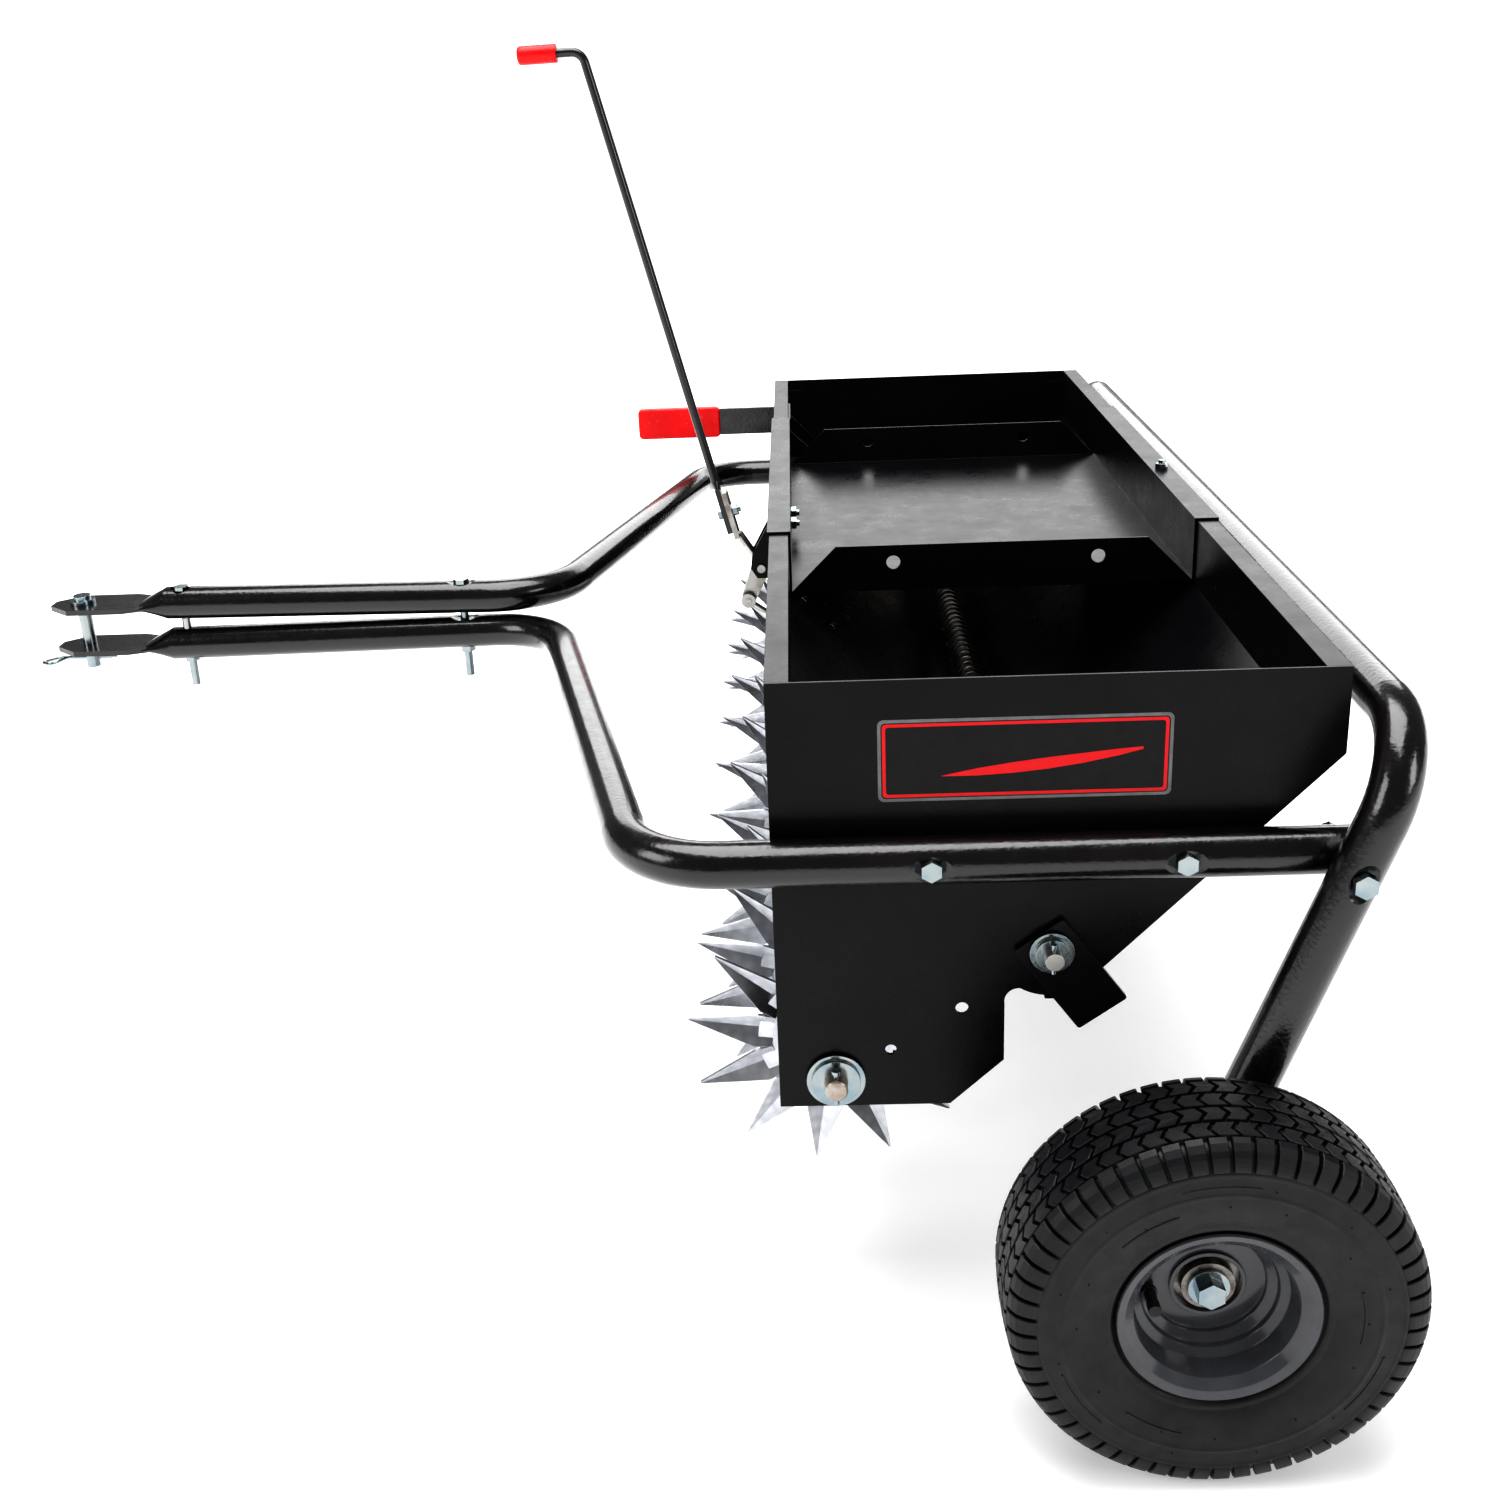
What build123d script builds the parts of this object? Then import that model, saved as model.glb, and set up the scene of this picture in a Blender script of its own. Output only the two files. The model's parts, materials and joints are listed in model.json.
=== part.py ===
from build123d import *
from math import acos, atan2, cos, degrees, hypot, pi, radians, sin, sqrt, tan
import os

# Tow-behind spike aerator with a drop-spreader hopper.
#
# Row frame: +X forward to the hitch, +Y left, +Z up, millimetres, and the ground at Z = 0 with
# the transport wheels down.  Places are given from the rim, the front lip of the hopper at its
# top: x runs forward from it and z up from it, and y is measured from the machine's middle.

os.makedirs("parts", exist_ok=True)

# ---- driving dimensions ----
rim_x = -155.0            # the rim in the row frame
rim_z = 512.5
half = 508.0              # outer face of an end panel
sheet = 2.0               # thickness of an end panel
thin = 1.8                # thickness of folded sheet
hopper_depth = 373.0      # front lip to rear lip
panel_height = 320.0
flange = 16.0             # out-turned rim flange
lip = 14.0                # down-turned edge of the flange
wall_height = 55.0        # upright part of the front and rear walls

tube_d = 31.75            # tow tubes and wheel frame
tube_wall = 2.0
dent_r = 26.0             # dimples that seat the bolt heads
dent_depth = 4.0
tow_y = 524.0
tow_z = -120.0
tow_rear = -389.0
tow_corner = 88.0
tow_bends = (70.0, 80.0)
tongue_corner = 214.0
tongue_gap = 33.6         # between the two tube axes where the tongue starts
hitch_gap = 42.0          # between the two tube axes at the hitch
tongue_end = 592.0        # end of the round tube
neck_end = 618.0          # end of the flattening
tab_end = 705.0
tab_width = 48.0
tab_thick = 5.0
hitch_x = 676.0
hitch_pin_d = 12.7

bolt_d = 8.0
bolt_flats = 13.0
tube_bolts_x = (-104.0, -267.0)
tongue_bolt_x = 303.0
neck_bolt_x = 577.0

axle_d = 15.9             # spike axle
axle_x = -39.5
axle_z = -297.5
agitator_d = 12.7
agitator_x = -hopper_depth / 2
agitator_z = -197.5
trough_r = 35.0           # inside radius of the trough
outlet_count = 20
outlet_pitch = 50.0
outlet_long = 18.0
outlet_wide = 10.0

star_count = 12
star_pitch = 83.0
star_disc_r = 55.0
star_tip_r = 107.0
star_thick = 2.5
tine_count = 12
first_tine = 8.2          # angle of the left star's first tine
tine_step = 7.5           # each star is turned on from its left neighbour
tine_fold = 27.0
tine_crest = 3.4

chain_pitch = 12.7
teeth = 12
roller_d = 7.77
chain_run = 14            # pitches in a straight run
chain_y = -518.6

coil_pitch = 14.0
coil_turns = 70
coil_r = 11.5
coil_wire = 3.0

tyre_r = 133.5
tyre_half = 41.5
wheel_y = 616.0
wheel_bolt_d = 12.0
hub_x = -273.0
hub_z = tyre_r - rim_z
frame_y = 556.2
frame_bend = 59.0
frame_rear = -400.9       # axis of the wheel frame's cross tube
frame_top = -30.0
pivot_x = -368.0
pivot_d = 9.5
leg_round = 62.0          # end of the round tube above the hub
leg_neck = 24.0           # end of the flattening above the hub
handle_bolts_at = (321.0, 308.5)
handle_gap = 4.2          # from the leg to the handle bar
bar_thick = 5.0

tray_left = 170.0
tray_right = -282.0
tray_floor = -51.0
tray_end = 38.0           # height of the tray's up-turned ends
tray_hole_d = 12.0
tray_holes_x = (-104.0, -276.0)
tray_hole_z = -28.0

lever_x = 12.0            # pivot of the control lever
lever_z = -80.0
lever_tail = 36.0
gate_lug = 54.0
lever_swing = 26.0
gate_swing = lever_swing * lever_tail / gate_lug
rod_foot = (40.0, -46.0)  # lower end of the control rod
rod_lean = 75.9
rod_length = 451.0
rod_tip = 52.0
rod_d = 8.0
flat_long = 42.0          # flattened lower end of the rod
flat_thick = 5.0

# ---- worked out from the driving dimensions ----
inner = half - sheet
middle_x = rim_x + agitator_x
tube_r = tube_d / 2
dent_reach = tube_r - dent_depth + dent_r
head_seat = tube_r - dent_depth + 1.2
trough_out = trough_r + thin
gate_r = trough_out + 0.5
gate_y = half + 0.8
bar_left = -frame_y + tube_r + handle_gap + bar_thick
link_y = 6.2                # middle of the link

LEFT = (0, 1, 0)
RIGHT = (0, -1, 0)
UP = (0, 0, 1)
DOWN = (0, 0, -1)
FRONT = (1, 0, 0)
REAR = (-1, 0, 0)


# ---- places and outlines ----
def section(y):
    """Upright plane at width y: local x runs forward and local y up from the rim; it faces right."""
    return Plane(origin=(rim_x, y, rim_z), x_dir=FRONT, z_dir=RIGHT)


def facing(x, y, z, direction):
    """Plane at a point given from the rim, facing along a direction."""
    return Plane(origin=(rim_x + x, y, rim_z + z), z_dir=direction)


def polar(x, z, radius, angle):
    """Point in the section plane at a radius and an angle in degrees from a centre."""
    return (x + radius * cos(radians(angle)), z + radius * sin(radians(angle)))


def around(radius, angle):
    """Point at a radius and an angle from the agitator's axis."""
    return polar(agitator_x, agitator_z, radius, angle)


def tangent(x, z, radius, side):
    """Angle at which a line from a point touches a circle round the agitator, on one side of it."""
    dx = x - agitator_x
    dz = z - agitator_z
    return degrees(atan2(dz, dx) + side * acos(radius / hypot(dx, dz)))


def folded(points, thickness):
    """Outline of a folded sheet: a line of points, and the same line moved to its right."""
    (ax, az), (bx, bz) = points[:2]
    (cx, cz), (dx, dz) = points[-2:]
    reached = [(2 * ax - bx, 2 * az - bz), *points, (2 * dx - cx, 2 * dz - cz)]
    moved = []
    for (px, pz), (x, z), (nx, nz) in zip(reached, points, reached[2:]):
        before = atan2(z - pz, x - px)
        after = atan2(nz - z, nx - x)
        turn = (after - before + pi) % (2 * pi) - pi
        normal = before + turn / 2 - pi / 2
        reach = thickness / cos(turn / 2)
        moved.append((x + reach * cos(normal), z + reach * sin(normal)))
    return points + moved[::-1]


# ---- shapes added to the sub-part being built ----
def slab(y, points, depth):
    """An outline in the section plane, from width y inwards to width y - depth."""
    with BuildSketch(section(y)) as profile:
        with BuildLine():
            Polyline(*points, close=True)
        make_face()
    extrude(profile.sketch, amount=depth)


def rod(plane, diameter, height, sides=0):
    """A round or many-sided bar standing on a plane; a negative height runs behind it."""
    with BuildSketch(plane) as profile:
        if sides:
            RegularPolygon(radius=diameter / 2, side_count=sides, major_radius=False)
        else:
            Circle(diameter / 2)
    extrude(profile.sketch, amount=height)


def bore(plane, diameter, depth):
    """A round hole from a plane along the way it faces."""
    with BuildSketch(plane) as profile:
        Circle(diameter / 2)
    extrude(profile.sketch, amount=depth, mode=Mode.SUBTRACT)


def ring(plane, outer_d, inner_d, height, sides=0):
    """A washer, bush or spacer standing on a plane, or a nut when it has sides."""
    with BuildSketch(plane) as profile:
        if sides:
            RegularPolygon(radius=outer_d / 2, side_count=sides, major_radius=False)
        else:
            Circle(outer_d / 2)
        Circle(inner_d / 2, mode=Mode.SUBTRACT)
    extrude(profile.sketch, amount=height)


def hex_bolt(seat, diameter, flats, reach):
    """A hex-head bolt: its head stands on the seat plane and its shank runs behind it."""
    rod(seat, flats, 0.65 * diameter, sides=6)
    rod(seat, diameter, -reach)


def nut(seat, diameter, flats):
    """A hex nut standing on a plane."""
    ring(seat, flats, diameter + 0.1, 0.8 * diameter, sides=6)


def pipe(points, bends, diameter):
    """A round bar along a line of points given from the rim, bent to a radius at each corner."""
    with BuildLine() as path:
        FilletPolyline(*[(rim_x + x, y, rim_z + z) for x, y, z in points], radius=bends)
    with BuildSketch(Plane(origin=path.line @ 0, z_dir=path.line % 0)) as profile:
        Circle(diameter / 2)
    sweep(profile.sketch, path=path.line)


def dent(x, y, z, radius):
    """A round dimple, taken out round a centre given from the rim."""
    with Locations((rim_x + x, y, rim_z + z)):
        Sphere(radius, mode=Mode.SUBTRACT)


# ---- end panels ----
front_touch = tangent(-flange, -wall_height, trough_r, -1)
rear_touch = 180 - front_touch
panel_touch = tangent(-hopper_depth, -60, trough_out, 1)

with BuildPart() as end_panel_left:
    with BuildSketch(section(half)):
        with BuildLine():
            Polyline(
                (-156, -240), (-156, -285), (-119, -panel_height), (0, -panel_height), (0, 0),
                (-hopper_depth, 0), (-hopper_depth, -60), around(trough_out, panel_touch),
            )
            ThreePointArc(
                around(trough_out, panel_touch), around(trough_out, -100), around(trough_out, -57)
            )
            ThreePointArc(around(trough_out, -57), (-159, -231), (-156, -240))
        make_face()
    extrude(amount=sheet)
    for x, z, diameter in (
        (agitator_x, agitator_z, 19.1), (axle_x, axle_z, 22.1), (-127, -243, 9), (-78, -275, 8),
        (tube_bolts_x[0], tow_z, bolt_d + 0.5), (tube_bolts_x[1], tow_z, bolt_d + 0.5),
    ):
        bore(facing(x, half + 1, z, RIGHT), diameter, 4)

with BuildPart() as end_panel_right:
    mirror(end_panel_left.part, about=Plane.XZ)

with BuildPart() as side_labels:
    for way in (LEFT, RIGHT):
        with BuildSketch(Plane(origin=(rim_x - 167, way[1] * half, rim_z - 56.5), x_dir=FRONT, z_dir=way)):
            RectangleRounded(190, 58, 5)
        extrude(amount=0.4)


# ---- hopper walls and trough ----
slope_bolts = ((159.0, -64.0), (151.0, -92.0))
slope_holes = ((91.0, -91.0), (26.0, -116.0))
bracket_bolts_y = (-18.0, 18.0)
bracket_bolts_z = -34.0
tray_bolt_x = -365.0
small_bolt_d = 6.0
small_flats = 10.0
small_hole_d = 6.5


def slope_face(y, z):
    """Plane on the inside of the sloping front wall, facing out through it."""
    along = radians(front_touch + 90)
    x = -flange + (z + wall_height) / tan(along)
    return facing(x, y, z, (cos(radians(front_touch)), 0, sin(radians(front_touch))))


with BuildPart() as plain_wall:
    wall_line = [
        around(trough_r, front_touch), (-flange, -wall_height), (-flange, 0), (0, 0), (0, -lip),
    ]
    slab(inner, folded(wall_line, thin), 2 * inner)
    # Tabs that hold the wall to the end panels.
    for y in (inner, -inner + thin):
        slab(y, [(-14.5, -12), (-34, -12), (-34, -44), (-28, -50), (-14.5, -50)], thin)

with BuildPart() as hopper_front:
    add(plain_wall.part)
    for y in bracket_bolts_y:
        bore(facing(-10, y, bracket_bolts_z, REAR), small_hole_d, 10)
    for y, z in slope_bolts + slope_holes:
        bore(slope_face(y, z).offset(-5), small_hole_d, 12)

with BuildPart() as hopper_rear:
    mirror(plain_wall.part, about=Plane.YZ.offset(middle_x))
    bore(facing(tray_bolt_x, 0, 2, DOWN), small_hole_d, 6)

with BuildPart() as trough:
    with BuildSketch(section(inner)):
        with BuildLine():
            ThreePointArc(
                around(trough_r, front_touch), around(trough_r, -90), around(trough_r, rear_touch)
            )
            Line(around(trough_r, rear_touch), around(trough_out, rear_touch))
            ThreePointArc(
                around(trough_out, rear_touch), around(trough_out, -90), around(trough_out, front_touch)
            )
            Line(around(trough_out, front_touch), around(trough_r, front_touch))
        make_face()
    extrude(amount=2 * inner)
    with BuildSketch(Plane(origin=(middle_x, 0, rim_z + agitator_z - 25), x_dir=LEFT, z_dir=DOWN)):
        with GridLocations(outlet_pitch, 1, outlet_count, 1):
            RectangleRounded(outlet_long, outlet_wide, 3)
    extrude(amount=20, mode=Mode.SUBTRACT)


# ---- tray and brackets on the hopper ----
with BuildPart() as centre_tray:
    front_in = -flange - 0.1
    rear_in = -hopper_depth - front_in
    above = [
        (2, -10), (2, thin + 0.1), (front_in - thin, thin + 0.1), (front_in - thin, tray_floor),
        (rear_in + thin, tray_floor), (rear_in + thin, thin + 0.1),
        (-hopper_depth - 2, thin + 0.1), (-hopper_depth - 2, -10),
    ]
    below = [
        (-hopper_depth - 0.2, -10), (-hopper_depth - 0.2, 0.1), (rear_in, 0.1),
        (rear_in, tray_floor - thin), (front_in, tray_floor - thin), (front_in, 0.1),
        (0.2, 0.1), (0.2, -10),
    ]
    slab(tray_left, above + below, tray_left - tray_right)
    # Up-turned ends with their corners cut at 45 degrees.
    foot_z = tray_floor - thin / 2
    top_z = tray_floor + tray_end
    end_plate = [
        (front_in - thin, foot_z), (front_in - thin - tray_end, top_z),
        (rear_in + thin + tray_end, top_z), (rear_in + thin, foot_z),
    ]
    for y in (tray_left, tray_right + thin):
        slab(y, end_plate, thin)
    for x in tray_holes_x:
        bore(facing(x, tray_left + 1, tray_hole_z, RIGHT), tray_hole_d, tray_left - tray_right + 2)
    bore(facing(tray_bolt_x, 0, 5, DOWN), small_hole_d, 10)
    for y in bracket_bolts_y:
        bore(facing(-10, y, bracket_bolts_z, REAR), small_hole_d, 12)

with BuildPart() as inner_bracket:
    # A short channel inside the front wall, its two cheeks cut at 45 degrees.
    slab(-310, [(-16.1, -6), (-18.6, -6), (-18.6, -50), (-16.1, -50)], 86)
    for y in (-310, -393):
        slab(y, [(-18.6, -20), (-46, -48), (-44, -50), (-18.6, -50)], 3)

with BuildPart() as control_bracket:
    # A base on the hopper's front wall, and two ears that hold the lever between them.
    with BuildSketch(Plane(origin=(rim_x - flange + thin + 0.1, 0, rim_z - 34), x_dir=LEFT, z_dir=FRONT)):
        RectangleRounded(52, 32, 3)
    extrude(amount=2.3)
    slab(10.5, [(-12, -22), (-4, -22), (20, -66), (22, -80), (16, -90), (6, -90), (-12, -50)], 3)
    mirror(about=Plane.XZ)
    for y in bracket_bolts_y:
        bore(facing(-8, y, bracket_bolts_z, REAR), small_hole_d, 8)
    bore(facing(lever_x, 14, lever_z, RIGHT), 8.12, 28)

with BuildPart() as handle_catch:
    # An open-topped hook on the right end panel that the transport handle lies in.
    outside = bar_left - bar_thick - 2.2
    hook = [
        (-508.1, -30), (-508.1, -74), (outside - 2.5, -74), (outside - 2.5, -50), (outside, -50),
        (outside, -71.3), (-510.6, -71.3), (-510.6, -30),
    ]
    with BuildSketch(Plane(origin=(rim_x - 60, 0, rim_z), x_dir=LEFT, z_dir=FRONT)):
        with BuildLine():
            Polyline(*hook, close=True)
        make_face()
    extrude(amount=30)

with BuildPart() as hopper_bolts:
    # The tray's bolt, the control bracket's two, the two through the slope and the catch's rivets.
    hex_bolt(facing(tray_bolt_x, 0, -thin - 0.1, DOWN), small_bolt_d, small_flats, 12)
    nut(facing(tray_bolt_x, 0, thin + 0.2, UP), small_bolt_d, small_flats)
    for y in bracket_bolts_y:
        hex_bolt(facing(-11.7, y, bracket_bolts_z, FRONT), small_bolt_d, small_flats, 14)
        nut(facing(front_in - thin - 0.1, y, bracket_bolts_z, REAR), small_bolt_d, small_flats)
    for y, z in slope_bolts:
        hex_bolt(slope_face(y, z).offset(thin + 0.1), small_bolt_d, small_flats, 10)
        ring(slope_face(y, z).offset(-0.1), small_flats, small_bolt_d + 0.1, -5, sides=6)
    for x in (-52, -38):
        rod(facing(x, -510.7, -44, RIGHT), 7, 1.6)

with BuildPart() as shaft_bushings:
    for x, z, shaft, sleeve, collar, reach in (
        (agitator_x, agitator_z, agitator_d, 19.0, 30.0, 513.0),
        (axle_x, axle_z, axle_d, 22.0, 36.0, 508.4),
    ):
        ring(facing(x, inner - 2.5, z, LEFT), collar, shaft + 0.1, 2.5)
        ring(facing(x, inner, z, LEFT), sleeve, shaft + 0.1, reach - inner)
    mirror(about=Plane.XZ)


# ---- tow frame ----
def tongue_z(x):
    """Height of the lower tongue tube's axis."""
    share = (x - tongue_corner) / (tongue_end - tongue_corner)
    return tow_z - (tongue_gap + share * (hitch_gap - tongue_gap)) / 2


low_z = tongue_z(tongue_end)
tow_dents = [(x, tow_y + dent_reach, tow_z) for x in tube_bolts_x]
tow_dents += [(tongue_bolt_x, 0, tongue_z(tongue_bolt_x) + side * dent_reach) for side in (-1, 1)]


def tow_run(rear, front):
    """Corner points of a tow tube's axis between two ends."""
    return [
        (rear, tow_y, tow_z), (tow_corner, tow_y, tow_z),
        (tongue_corner, 0, tongue_z(tongue_corner)), (front, 0, tongue_z(front)),
    ]


with BuildPart() as tow_bore:
    pipe(tow_run(tow_rear - 5, neck_bolt_x - 13), tow_bends, tube_d - 2 * tube_wall)
    for place in tow_dents:
        dent(*place, dent_r + tube_wall)

with BuildPart() as tow_tube_left:
    pipe(tow_run(tow_rear, tongue_end), tow_bends, tube_d)
    # The end is flattened into a tab with its corners cut off.
    along = (tongue_end - tongue_corner, 0, low_z - tongue_z(tongue_corner))
    with BuildSketch(Plane(origin=(rim_x + tongue_end, 0, rim_z + low_z), x_dir=LEFT, z_dir=along)):
        Circle(tube_r)
    with BuildSketch(Plane(origin=(rim_x + neck_end, 0, rim_z + low_z), x_dir=LEFT, z_dir=FRONT)):
        Ellipse(tab_width / 2 - 3, tab_thick / 2)
    loft()
    with BuildSketch(Plane(origin=(rim_x, 0, rim_z + low_z - tab_thick / 2))):
        with BuildLine():
            Polyline(
                (neck_end - 12, 16), (neck_end + 12, tab_width / 2), (tab_end - 22, tab_width / 2),
                (tab_end, 7), (tab_end, -7), (tab_end - 22, -tab_width / 2),
                (neck_end + 12, -tab_width / 2), (neck_end - 12, -16), close=True,
            )
        make_face()
    extrude(amount=tab_thick)
    bore(facing(hitch_x, 0, low_z - 10, UP), hitch_pin_d + 0.2, 20)
    bore(facing(neck_bolt_x, 0, tongue_z(neck_bolt_x) - tube_r + 4.5, DOWN), 20, 12)
    for place in tow_dents:
        dent(*place, dent_r)
    add(tow_bore.part, mode=Mode.SUBTRACT)
    for x in tube_bolts_x:
        bore(facing(x, tow_y + 20, tow_z, RIGHT), bolt_d + 0.5, 40)
    for x in (tongue_bolt_x, neck_bolt_x):
        bore(facing(x, 0, low_z + 30, DOWN), bolt_d + 0.5, 60)
    bore(facing(pivot_x, tow_y + 20, tow_z, RIGHT), pivot_d + 0.3, 40)

with BuildPart() as tow_tube_right:
    # The same tube turned over, so that its tongue lies on top.
    add(tow_tube_left.part.rotate(Axis((0, 0, rim_z + tow_z), FRONT), 180))

with BuildPart() as tube_bolts:
    for x in tube_bolts_x:
        hex_bolt(facing(x, tow_y + head_seat, tow_z, LEFT), bolt_d, bolt_flats, 44)
        nut(facing(x, inner - 0.1, tow_z, RIGHT), bolt_d, bolt_flats)
    mirror(about=Plane.XZ)

with BuildPart() as tongue_bolts:
    for x, seat in ((tongue_bolt_x, head_seat), (neck_bolt_x, tube_r - 4.4)):
        top = 2 * tow_z - tongue_z(x) + seat
        bottom = tongue_z(x) - seat
        hex_bolt(facing(x, 0, top, UP), bolt_d, bolt_flats, top - bottom + 32)
        nut(facing(x, 0, bottom, DOWN), bolt_d, bolt_flats)

pin_seat = 2 * tow_z - low_z + tab_thick / 2 + 0.1
clip_z = low_z - tab_thick / 2 - 9
with BuildPart() as hitch_pin:
    rod(facing(hitch_x, 0, pin_seat, UP), 23, 4)
    rod(facing(hitch_x, 0, pin_seat + 4, UP), 16, 4)
    rod(facing(hitch_x, 0, pin_seat, DOWN), hitch_pin_d, pin_seat - clip_z + 9)
    bore(facing(hitch_x - 20, 0, clip_z, FRONT), 3.2, 40)

with BuildPart() as hitch_clip:
    # A spring clip: a straight leg through the pin, an open loop, and a leg beside the pin.
    pipe(
        [
            (hitch_x - 24, 0, clip_z), (hitch_x + 26, 0, clip_z), (hitch_x + 36, 14, clip_z - 2),
            (hitch_x + 52, 2, clip_z - 4), (hitch_x + 40, -14, clip_z - 5),
            (hitch_x + 22, -12, clip_z - 5), (hitch_x - 14, -10.5, clip_z - 5),
        ],
        (6, 7, 7, 6, 6),
        3,
    )


# ---- spike reel ----
star_spread = (star_count - 1) * star_pitch / 2
axle_line = Axis((rim_x + axle_x, 0, rim_z + axle_z), RIGHT)

with BuildPart() as spike_axle:
    rod(facing(axle_x, 524, axle_z, RIGHT), axle_d, 1061)
    chamfer(spike_axle.edges().filter_by(GeomType.CIRCLE), 1)
    for y in (518.5, -532.5):
        bore(facing(axle_x, y, axle_z + 15, DOWN), 4.2, 30)

with BuildPart() as tine:
    # A flat point folded along its middle: its outline cut out of a roof of even thickness.
    slab(
        8,
        [
            (axle_x + 44, axle_z + 12.2), (axle_x + 57, axle_z + 13.4),
            (axle_x + star_tip_r, axle_z + 0.6), (axle_x + star_tip_r, axle_z - 0.6),
            (axle_x + 57, axle_z - 13.4), (axle_x + 44, axle_z - 12.2),
        ],
        16,
    )
    side = 16
    fall = side * tan(radians(tine_fold))
    flank = star_thick / 2 / cos(radians(tine_fold))
    with BuildSketch(Plane(origin=(rim_x + axle_x + 40, 0, rim_z + axle_z), x_dir=UP, z_dir=FRONT)):
        with BuildLine():
            Polyline(
                (0, tine_crest + flank), (side, tine_crest + flank - fall),
                (side, tine_crest - flank - fall), (0, tine_crest - flank),
                (-side, tine_crest - flank - fall), (-side, tine_crest + flank - fall), close=True,
            )
        make_face()
    extrude(amount=star_tip_r, mode=Mode.INTERSECT)

with BuildPart() as star:
    ring(facing(axle_x, star_thick / 2, axle_z, RIGHT), 2 * star_disc_r, axle_d + 0.2, star_thick)
    for i in range(tine_count):
        add(tine.part.rotate(axle_line, i * 360 / tine_count))

spike_stars = []
for i in range(star_count):
    with BuildPart() as spike_star:
        turned = star.part.rotate(axle_line, first_tine + i * tine_step)
        add(turned.moved(Location((0, star_spread - i * star_pitch, 0))))
    spike_stars.append(spike_star)

with BuildPart() as axle_spacers:
    for i in range(star_count - 1):
        y = star_spread - i * star_pitch - star_thick / 2 - 0.1
        ring(facing(axle_x, y, axle_z, RIGHT), 22, axle_d + 0.2, star_pitch - star_thick - 0.2)
    for way in (LEFT, RIGHT):
        y = star_spread + star_thick / 2 + 0.1
        ring(facing(axle_x, way[1] * y, axle_z, way), 22, axle_d + 0.2, inner - 2.9 - y)

with BuildPart() as axle_washers:
    # Two washers and a cross pin at each end.
    for way in (LEFT, RIGHT):
        ring(facing(axle_x, way[1] * 508.8, axle_z, way), 41, axle_d + 0.2, 2.5)
        ring(facing(axle_x, way[1] * 511.4, axle_z, way), 34, axle_d + 0.2, 2.3)
    for y in (518.5, -532.5):
        rod(facing(axle_x, y, axle_z + 12, DOWN), 4, 25)
        rod(facing(axle_x, y, axle_z + 14, DOWN), 6.5, 2.5)


# ---- chain drive on the right ----
pitch_r = chain_pitch / 2 / sin(pi / teeth)
drive_lean = degrees(atan2(agitator_z - axle_z, agitator_x - axle_x))
drive_gap = hypot(agitator_z - axle_z, agitator_x - axle_x)


def sprocket(x, z, shaft):
    """A toothed plate with its hub; its teeth are short enough to turn inside the chain's pins."""
    with BuildSketch(section(chain_y + 1.6)) as profile:
        with Locations((x, z)):
            Circle(pitch_r - 2.2)
            with PolarLocations(pitch_r, teeth, start_angle=drive_lean + 90):
                Circle(roller_d / 2 + 0.35, mode=Mode.SUBTRACT)
    extrude(profile.sketch, amount=3.2)
    rod(facing(x, chain_y - 1.6, z, RIGHT), 26, 8)
    bore(facing(x, chain_y + 3, z, RIGHT), shaft + 0.2, 20)


with BuildPart() as axle_sprocket:
    sprocket(axle_x, axle_z, axle_d)

with BuildPart() as agitator_sprocket:
    sprocket(agitator_x, agitator_z, agitator_d)

# Roller centres in order round the loop: half a turn on each sprocket, then a straight run.
rollers = []
for x, z, lean in ((axle_x, axle_z, drive_lean), (agitator_x, agitator_z, drive_lean + 180)):
    rollers += [polar(x, z, pitch_r, lean - 90 - i * 360 / teeth) for i in range(teeth // 2)]
    run_start = polar(x, z, pitch_r, lean - 270)
    rollers += [polar(*run_start, i * drive_gap / chain_run, lean) for i in range(chain_run)]

with BuildPart() as drive_chain:
    for i, (x, z) in enumerate(rollers):
        next_x, next_z = rollers[(i + 1) % len(rollers)]
        lean = degrees(atan2(next_z - z, next_x - x))
        inside = 3.3 if i % 2 else 4.5
        for y in (chain_y + inside + 1.1, chain_y - inside):
            with BuildSketch(section(y)):
                with Locations(Location(((x + next_x) / 2, (z + next_z) / 2, 0), (0, 0, lean))):
                    SlotCenterToCenter(hypot(next_x - x, next_z - z), 8.6)
            extrude(amount=1.1)
        if i % (teeth // 2 + chain_run) > teeth // 2:
            # Rollers stand on the straight runs only, and leave the way round the sprockets open.
            rod(facing(x, chain_y + 3.3, z, RIGHT), roller_d, 6.6)
        rod(facing(x, chain_y + 5.8, z, RIGHT), 3.6, 11.6)


# ---- agitator ----
coil_length = coil_turns * coil_pitch

with BuildPart() as agitator_shaft:
    rod(facing(agitator_x, 527, agitator_z, RIGHT), agitator_d, 1063)
    for y in (521.5, -532):
        bore(facing(agitator_x, y, agitator_z + 15, DOWN), 3.7, 30)

with BuildPart() as agitator_coil:
    with BuildLine() as coil_path:
        Helix(
            coil_pitch, coil_length, coil_r, center=(middle_x, coil_length / 2, rim_z + agitator_z),
            direction=RIGHT,
        )
    with BuildSketch(Plane(origin=coil_path.line @ 0, z_dir=coil_path.line % 0)):
        Circle(coil_wire / 2)
    sweep(is_frenet=True)

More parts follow.
